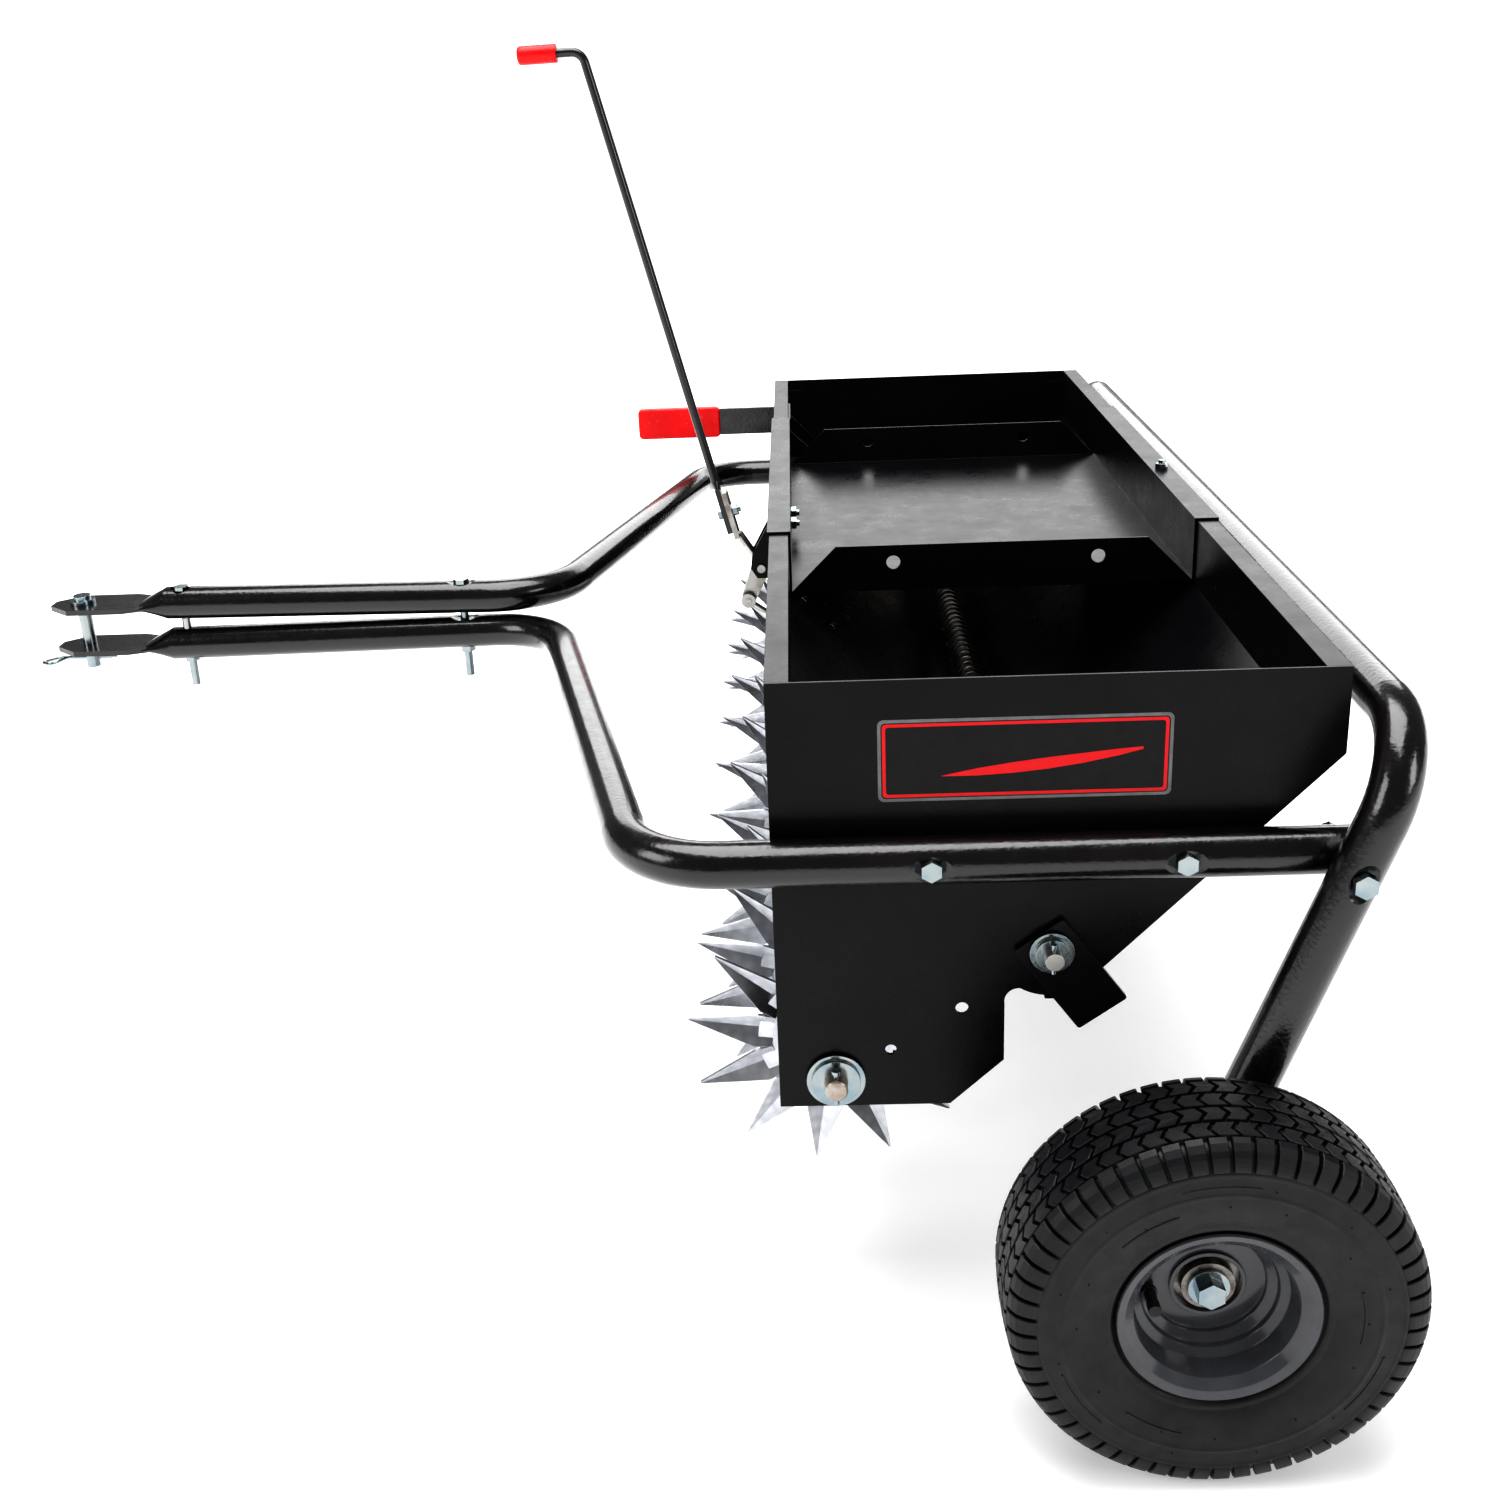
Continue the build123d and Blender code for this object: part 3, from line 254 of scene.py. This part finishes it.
def drive_steel():
    """Oiled chain and sprockets: dark film with bright rubbed spots."""
    t = Tree("drive_steel", Metallic=1.0)
    rubbed = t.span(t.noise(160, 4, 0.6), 0.52, 0.68)
    t.set("Base Color", t.mix(rubbed, (0.035, 0.034, 0.034), (0.20, 0.195, 0.19)))
    t.set("Roughness", t.span(rubbed, 0, 1, 0.42, 0.26))
    t.set("Normal", t.bump(t.noise(700, 2, 0.6), 0.12, 0.0003, t.rounded(0.0004)))
    return t.material


def bearing_steel():
    """Greased bearing: brown grease over dull steel."""
    t = Tree("bearing_steel", Metallic=0.85)
    grease = t.span(t.noise(110, 4, 0.6), 0.40, 0.65)
    t.set("Base Color", t.mix(grease, (0.24, 0.23, 0.22), (0.085, 0.07, 0.055)))
    t.set("Roughness", t.span(grease, 0, 1, 0.36, 0.24))
    t.set("Normal", t.bump(t.noise(260, 3, 0.6), 0.18, 0.0005, t.rounded(0.0005)))
    return t.material


def bush_plastic():
    """Black moulded nylon with a dull skin."""
    t = Tree("bush_plastic")
    t.set("Base Color", t.mix(t.noise(50, 3, 0.5), (0.016, 0.016, 0.017), (0.034, 0.034, 0.036)))
    t.rough(180, 3, 0.5, 0.42, 0.58)
    t.set("Normal", t.bump(t.noise(900, 2, 0.5), 0.12, 0.0003, t.rounded(0.0006)))
    return t.material


def red_vinyl():
    """Dipped vinyl: soft gloss, shallow runs, scuffs that have gone paler."""
    t = Tree("red_vinyl", Specular_IOR_Level=0.25, Coat_Weight=0.1, Coat_Roughness=0.2)
    scuff = t.span(t.noise(130, 5, 0.7), 0.60, 0.74)
    skin = t.mix(t.span(t.noise(24, 3, 0.5), 0.35, 0.7), (0.62, 0.003, 0.005), (0.80, 0.006, 0.009))
    t.set("Base Color", t.mix(t.times(scuff, 0.35), skin, (0.78, 0.16, 0.14)))
    t.rough(90, 3, 0.5, 0.30, 0.46)
    runs = t.bump(t.noise(45, 2, 0.5, stretch=(0.5, 1.0, 1.0)), 0.20, 0.0012, t.rounded(0.0015))
    t.set("Normal", t.bump(t.noise(850, 2, 0.5), 0.06, 0.0004, runs))
    return t.material


def grey_rim():
    """Charcoal enamel on the pressed rim, glossy with slight orange peel and settled dust."""
    t = Tree("grey_rim", Specular_IOR_Level=0.35, Coat_Weight=0.35, Coat_Roughness=0.05)
    clouds = t.noise(22, 4, 0.6)
    enamel = t.mix(t.span(clouds, 0.35, 0.7), (0.046, 0.047, 0.053), (0.070, 0.071, 0.079))
    specks = t.span(t.noise(520, 3, 0.7), 0.68, 0.76)
    t.set("Base Color", t.mix(t.times(specks, 0.15), enamel, (0.25, 0.25, 0.26)))
    t.rough(70, 3, 0.5, 0.15, 0.22)
    t.set("Normal", t.bump(t.noise(360, 2, 0.5), 0.04, 0.0005, t.rounded(0.0012)))
    return t.material


def rubber(name, dark, light, rough):
    """Moulded rubber: dull skin, grey bloom in patches, and a fine mould grain."""
    t = Tree(name, Specular_IOR_Level=0.36)
    bloom = t.span(t.noise(28, 5, 0.65), 0.42, 0.72)
    t.set("Base Color", t.mix(bloom, dark, light))
    t.rough(85, 4, 0.6, rough, rough + 0.16)
    grain = t.bump(t.noise(900, 3, 0.6), 0.22, 0.0004)
    t.set("Normal", t.bump(t.noise(130, 3, 0.6), 0.10, 0.0008, grain))
    return t.material


def film(name, colour, worn):
    """Printed label film with its ink slightly uneven."""
    t = Tree(name, Specular_IOR_Level=0.25)
    t.set("Base Color", t.mix(t.span(t.noise(95, 5, 0.7), 0.40, 0.72), colour, worn))
    t.rough(160, 3, 0.5, 0.28, 0.40)
    t.set("Normal", t.bump(t.noise(500, 2, 0.5), 0.05, 0.0004))
    return t.material


materials = {
    "black_sheet": black_sheet(),
    "black_tube": black_tube(),
    "zinc_fastener": zinc(),
    "galvanised_spike": galvanised(),
    "shaft_steel": shaft_steel(),
    "black_rod": black_rod(),
    "drive_steel": drive_steel(),
    "bush_plastic": bush_plastic(),
    "label_film": film("label_film", (0.0020, 0.0020, 0.0024), (0.0045, 0.0045, 0.005)),
    "red_vinyl": red_vinyl(),
    "grey_rim": grey_rim(),
    "tyre_rubber": rubber("tyre_rubber", (0.0040, 0.0044, 0.0054), (0.0100, 0.0104, 0.0118), 0.40),
    "bearing_steel": bearing_steel(),
    "valve_rubber": rubber("valve_rubber", (0.010, 0.010, 0.010), (0.020, 0.020, 0.020), 0.40),
}
for part in frame["record"]["subparts"]:
    for held in frame["nodes"][part["node"]].material_slots:
        held.material = materials[part["material_slot"]]


# ---- pieces ----
def piece(name, points, faces, body, mats, indices=None, smooth=False):
    """A mesh object riding on a body, with a material for each face."""
    mesh = bpy.data.meshes.new(name)
    mesh.from_pydata([tuple(p) for p in points], [], [tuple(f) for f in faces])
    for material in mats:
        mesh.materials.append(material)
    if indices is not None:
        mesh.polygons.foreach_set("material_index", indices)
    mesh.polygons.foreach_set("use_smooth", smooth if isinstance(smooth, list) else [smooth] * len(faces))
    mesh.update()
    obj = bpy.data.objects.new(name, mesh)
    bpy.context.scene.collection.objects.link(obj)
    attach(obj, body)
    return obj


# ---- tyres ----
# Half of the carcass outline, bead to crown: sideways from the tyre's middle, and radius, in mm.
CARCASS = [
    (15, 52.7), (22, 53.6), (26.2, 55.2), (29.4, 59.4), (31.4, 64.4), (32.4, 66.4), (34.2, 67.6),
    (35.0, 69.4), (35.1, 71.4), (35.9, 73.0), (37.8, 78), (39.6, 85), (40.6, 92), (40.9, 97),
    (41.35, 98.2), (41.35, 99.6), (40.9, 100.8), (40.6, 106), (40.2, 110.8), (40.5, 112.4),
    (40.3, 114.2), (38.9, 115.2), (37.6, 117.8), (36.2, 121.2), (33.4, 125.2), (29.5, 127.8),
    (24, 128.8), (12, 129.3), (0, 129.5),
]
# A shoulder lug's spine, from the tread's edge down the sidewall: sideways, radius and height, in mm.
LUG_SPINE = [
    (27.2, 127.9, 4.3), (30.6, 126.9, 4.2), (33.5, 124.8, 3.9), (35.5, 122.2, 3.3),
    (36.9, 119.6, 2.7), (37.9, 117.4, 2.2), (38.7, 115.6, 1.6), (39.6, 114.4, 0.4),
]
MM_IN_METRE = 1000
FACETS = 232              # round the carcass
PITCHES = 58              # tread blocks in a row
ROWS = (-20.8, -6.9, 6.9, 20.8)
ROW_WIDTH = 12.5
BLOCK_LONG = 12.2
BLOCK_ROOT_R = 127.6
CHEVRON = 4.4             # how far a block's middle is set on from its ends
CROWN_R = 133.4
CROWN_DROP = 1.5          # from the tread's middle to its edge
TREAD_HALF = 28.0
LUG_GAP = 1.9
PIP_R = 0.85              # of the moulding pips
BAR_TURN = 26             # degrees of a sidewall bar
BAR_ROWS = ((88.0, 40.15, 20), (104.5, 40.7, 110))     # radius, sidewall's height there, first angle
VENTS = 12                # vent stubs round a sidewall, at each radius


def crown(y):
    """The tread's outer radius at a place across it."""
    return CROWN_R - CROWN_DROP * (y / TREAD_HALF) ** 2


def hexagon(middle_y, middle_s, radius):
    """Six points round a place on the tyre's skin."""
    angles = np.linspace(0, 2 * pi, 7)[:-1]
    return [(middle_y + radius * cos(a), middle_s + radius * sin(a)) for a in angles]


class Solid:
    """Gathers strips and rings of points, placed by (y, radius, angle) round an axle, into one mesh."""

    def __init__(self):
        self.points, self.faces, self.smooth = [], [], []

    def face(self, corners, smooth=False):
        self.faces.append(tuple(corners))
        self.smooth.append(smooth)

    def add(self, rings, cap=True, smooth=False):
        """Joins closed rings of the same length, caps the last one, and returns the first one's corners."""
        start, n = len(self.points), len(rings[0])
        for ring in rings:
            self.points += ring
        for k in range(len(rings) - 1):
            a, b = start + k * n, start + (k + 1) * n
            for i in range(n):
                self.face((a + i, a + (i + 1) % n, b + (i + 1) % n, b + i), smooth)
        if cap:
            self.face(range(len(self.points) - n, len(self.points)), smooth)
        return range(start, start + n)


def inset(outline, by):
    """An outline in (y, s) moved in towards its middle by about a distance."""
    points = np.array(outline, float)
    middle = points.mean(0)
    half = np.abs(points - middle).max(0)
    return [tuple(p) for p in middle + (points - middle) * (1 - by / half)]


def block(solid, outline, draft=0.5, edge=0.45):
    """A tread block: an outline in (y, arc length) raised from the carcass, with its top edge eased."""
    root = [(y, BLOCK_ROOT_R, s / CROWN_R) for y, s in outline]
    side = [(y, crown(y) - edge, s / CROWN_R) for y, s in inset(outline, draft)]
    top = [(y, crown(y), s / CROWN_R) for y, s in inset(outline, draft + edge)]
    solid.add([root, side, top])


def pips(solid, y, start, lean):
    """Two moulding pips on a block, one each side of its middle."""
    for at in (-0.27, 0.27):
        outline = hexagon(y + at * ROW_WIDTH, start + BLOCK_LONG * (0.5 + 0.9 * at) + lean * 0.45, PIP_R)
        foot = [(q, crown(q) - 0.3, s / CROWN_R) for q, s in outline]
        top = [(q, crown(q) + 0.08, s / CROWN_R) for q, s in inset(outline, 0.2)]
        solid.add([foot, top])


def smoothed(outline, times=2):
    """The outline with its corners cut, ends kept."""
    for _ in range(times):
        cut = [outline[0]]
        for (ay, ar), (by, br) in zip(outline, outline[1:]):
            cut.append((ay * 0.75 + by * 0.25, ar * 0.75 + br * 0.25))
            cut.append((ay * 0.25 + by * 0.75, ar * 0.25 + br * 0.75))
        outline = cut + [outline[-1]]
    return outline


def lug(solid, side, middle, width):
    """A shoulder lug: from the edge of the tread down the sidewall, thinning out as it goes."""
    half, root, eased = width / 2, -0.6, 0.5
    rows = []
    for k, (y, r, high) in enumerate(LUG_SPINE):
        before, after = LUG_SPINE[max(k - 1, 0)], LUG_SPINE[min(k + 1, len(LUG_SPINE) - 1)]
        along = Vector((after[0] - before[0], after[1] - before[1])).normalized()
        out = Vector((-along.y, along.x))
        flank = ((root, half), (high - eased, half - eased), (high, half - 2 * eased))
        section = [(h, -w) for h, w in flank] + [(h, w) for h, w in reversed(flank)]
        rows.append([(side * (y + out.x * h), r + out.y * h, middle + w / CROWN_R) for h, w in section])
    start, n = len(solid.points), len(rows[0])
    for row in rows:
        solid.points += row
    for k in range(len(rows) - 1):
        a, b = start + n * k, start + n * (k + 1)
        for i in range(n - 1):
            solid.face((a + i, a + i + 1, b + i + 1, b + i))
    solid.face(range(start, start + n))


def bar(solid, side, radius, wall, start):
    """A plain raised bar round part of a sidewall, where a real tyre has its moulded markings."""
    half, high, root, eased, steps = 0.9, 0.45, 0.5, 0.3, 24
    section = ((wall - root, radius - half), (wall + high, radius - half + eased),
               (wall + high, radius + half - eased), (wall - root, radius + half))
    angles = [start + radians(BAR_TURN) * k / steps for k in range(steps + 1)]
    first = solid.add([[(side * y, r, angle) for y, r in section] for angle in angles])
    solid.face(reversed(first))


def vent(solid, side, radius, wall, angle):
    """A stub of rubber left by a vent in the mould."""
    foot = [(side * (wall - 0.4), r, angle + s / radius) for r, s in hexagon(radius, 0, 0.7)]
    head = [(side * (wall + 0.75), r, angle + s / radius) for r, s in hexagon(radius, 0, 0.45)]
    solid.add([foot, head])


def tyre(name, node, body):
    """A turf tyre: rows of interlocking chevron blocks, shoulder lugs, and barred sidewalls."""
    low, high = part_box(node)
    centre = (low + high) / 2
    solid = Solid()
    outline = smoothed(CARCASS)
    outline += [(-y, r) for y, r in reversed(outline[:-1])]
    rings = [[(y, r, 2 * pi * k / FACETS) for k in range(FACETS)] for y, r in outline]
    solid.add(rings, cap=False, smooth=True)
    pitch = 2 * pi * CROWN_R / PITCHES
    for row, y in enumerate(ROWS):
        lean = CHEVRON if row % 2 else -CHEVRON
        y0, y1 = y - ROW_WIDTH / 2, y + ROW_WIDTH / 2
        for k in range(PITCHES):
            s0 = (k + (row % 2) / 2) * pitch
            s1 = s0 + BLOCK_LONG
            block(solid, [(y0, s0), (y, s0 + lean), (y1, s0), (y1, s1), (y, s1 + lean), (y0, s1)])
            pips(solid, y, s0, lean)
    for side in (-1, 1):
        for radius, wall, first in BAR_ROWS:
            for k in range(3):
                bar(solid, side, radius, wall, radians(first + 120 * k))
        for k in range(PITCHES):
            lug(solid, side, (k + 0.5) * 2 * pi / PITCHES, pitch - LUG_GAP)
    for k in range(VENTS):
        # The inner ones stand a little unevenly, the outer ones half-way between.
        for radius, wall, onward in ((90.0, 40.3, 0.13 * (k % 3)), (104.0, 40.6, 0.5)):
            for side in (-1, 1):
                vent(solid, side, radius, wall, 2 * pi * (k + onward) / VENTS)
    points = [
        (centre.x + r * sin(a) / MM_IN_METRE, centre.y + y / MM_IN_METRE, centre.z + r * cos(a) / MM_IN_METRE)
        for y, r, a in solid.points
    ]
    rubber_skin = [materials["tyre_rubber"]]
    obj = piece(name, points, solid.faces, body, rubber_skin, smooth=solid.smooth)
    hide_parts(node)


tyre("turf_tyre_left", "tyre_left", "left_wheel")
tyre("turf_tyre_right", "tyre_right", "right_wheel")


# ---- side labels ----
FILM, GREY, RED = range(3)
# A label's lines from its edge inwards, in metres: inset, corner radius, depth under the face, and the
# colour of the band that starts there.
LABEL_LINES = [
    (0.0, 0.004, 0.0004, GREY), (0.0, 0.004, 0.0001, GREY), (0.0002, 0.004, 0.0, GREY),
    (0.0022, 0.003, 0.0, FILM), (0.0030, 0.0025, 0.0, RED), (0.0052, 0.002, 0.0, FILM),
]
# The red bar's outline, in shares of the label: along it, bottom and top.
MARK = [
    (0.22, 0.30, 0.31), (0.34, 0.30, 0.39), (0.46, 0.32, 0.45), (0.58, 0.36, 0.50),
    (0.70, 0.42, 0.54), (0.82, 0.50, 0.58), (0.90, 0.57, 0.60),
]
INK = 0.00004             # how far the red bar stands off the film


def rounded_box(x0, x1, z0, z1, radius, steps=6):
    """Points round a rectangle with round corners."""
    points = []
    left, right, bottom, top = x0 + radius, x1 - radius, z0 + radius, z1 - radius
    for mx, mz, start in ((right, top, 0), (left, top, 90), (left, bottom, 180), (right, bottom, 270)):
        for k in range(steps + 1):
            angle = radians(start + 90 * k / steps)
            points.append((mx + radius * cos(angle), mz + radius * sin(angle)))
    return points


def labels():
    """Both end panels' labels: a dark film with a grey border, a thin red line and a plain red bar."""
    low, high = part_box("side_labels")
    x0, x1, z0, z1 = low.x, high.x, low.z, high.z
    wide, tall = x1 - x0, z1 - z0
    points, faces, indices = [], [], []
    for side in (-1, 1):
        outside = high.y if side > 0 else low.y
        start = len(points)
        for inwards, radius, depth, _ in LABEL_LINES:
            loop = rounded_box(x0 + inwards, x1 - inwards, z0 + inwards, z1 - inwards, radius)
            points += [(x, outside - side * depth, z) for x, z in loop]
        n = (len(points) - start) // len(LABEL_LINES)
        for k, (*_, band) in enumerate(LABEL_LINES[:-1]):
            for i in range(n):
                a, b = start + k * n + i, start + k * n + (i + 1) % n
                quad = (a, b, b + n, a + n)
                faces.append(quad if side < 0 else quad[::-1])
                indices.append(band)
        middle = tuple(range(len(points) - n, len(points)))
        faces.append(middle if side < 0 else middle[::-1])
        indices.append(FILM)
        # A plain tapered bar in place of any mark, raised by the thickness of its ink.
        start = len(points)
        for along, bottom, top in MARK:
            x = x1 - along * wide if side > 0 else x0 + along * wide
            points += [(x, outside + side * INK, z0 + share * tall) for share in (bottom, top)]
        for a in range(start, len(points) - 2, 2):
            faces.append((a, a + 2, a + 3, a + 1))
            indices.append(RED)
    grey = film("label_border", (0.13, 0.13, 0.135), (0.18, 0.18, 0.18))
    red = film("label_red", (0.66, 0.006, 0.010), (0.56, 0.008, 0.012))
    inks = [materials["label_film"], grey, red]
    obj = piece("side_label_prints", points, faces, "hopper", inks, indices)
    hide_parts("side_labels")


labels()


# ---- floor, backdrop and light ----
def stage_floor(reach=30):
    """A pale floor. It glows more with its distance from the middle, to meet the backdrop with no line."""
    mesh = bpy.data.meshes.new("floor")
    corners = [(x * reach, y * reach, 0) for x, y in ((-1, -1), (1, -1), (1, 1), (-1, 1))]
    mesh.from_pydata(corners, [], [(0, 1, 2, 3)])
    obj = bpy.data.objects.new("floor", mesh)
    bpy.context.scene.collection.objects.link(obj)
    t = Tree("floor", Specular_IOR_Level=0.1)
    t.set("Base Color", t.mix(t.noise(3, 3, 0.5), (0.90, 0.90, 0.90), (0.93, 0.93, 0.925)))
    t.rough(9, 3, 0.5, 0.75, 0.9)
    away = t.nodes.new("ShaderNodeVectorMath")
    away.operation = "LENGTH"
    t.feed(away, 0, t.place)
    t.set("Emission Color", (1.0, 1.0, 1.0))
    t.set("Emission Strength", t.span(away.outputs["Value"], 0.9, 3.2, 0.20, 0.75))
    mesh.materials.append(t.material)


def softbox(name, at, aim, wide, tall, watts):
    """A rectangular soft light aimed at a point, unseen by the camera."""
    data = bpy.data.lights.new(name, "AREA")
    data.shape = "RECTANGLE"
    data.size, data.size_y = wide, tall
    data.energy = watts
    obj = bpy.data.objects.new(name, data)
    bpy.context.scene.collection.objects.link(obj)
    obj.location = at
    obj.rotation_euler = (Vector(aim) - Vector(at)).to_track_quat("-Z", "Y").to_euler()
    obj.visible_camera = False


stage_floor()
softbox("overhead", (0.1, 0.1, 3.0), (0.0, 0.0, 0.2), 2.6, 2.2, 105)
softbox("behind", (-0.4, -2.6, 1.7), (-0.1, 0.0, 0.3), 4.0, 1.5, 48)
softbox("left", (2.4, 1.5, 1.7), (0.0, 0.3, 0.3), 1.4, 1.4, 30)
softbox("right", (-2.3, 1.9, 1.3), (-0.3, 0.4, 0.2), 0.9, 1.2, 18)

# The backdrop shows white to the camera, and lights the machine less than that.
BACKDROP_LIGHT, BACKDROP_SHOWN = 0.19, 1.05
world = bpy.data.worlds.new("studio")
world.use_nodes = True
backdrop = world.node_tree.nodes["Background"]
backdrop.inputs["Color"].default_value = (1, 1, 1, 1)
seen = world.node_tree.nodes.new("ShaderNodeLightPath")
strength = world.node_tree.nodes.new("ShaderNodeMapRange")
strength.inputs["To Min"].default_value = BACKDROP_LIGHT
strength.inputs["To Max"].default_value = BACKDROP_SHOWN
world.node_tree.links.new(seen.outputs["Is Camera Ray"], strength.inputs["Value"])
world.node_tree.links.new(strength.outputs["Result"], backdrop.inputs["Strength"])
bpy.context.scene.world = world
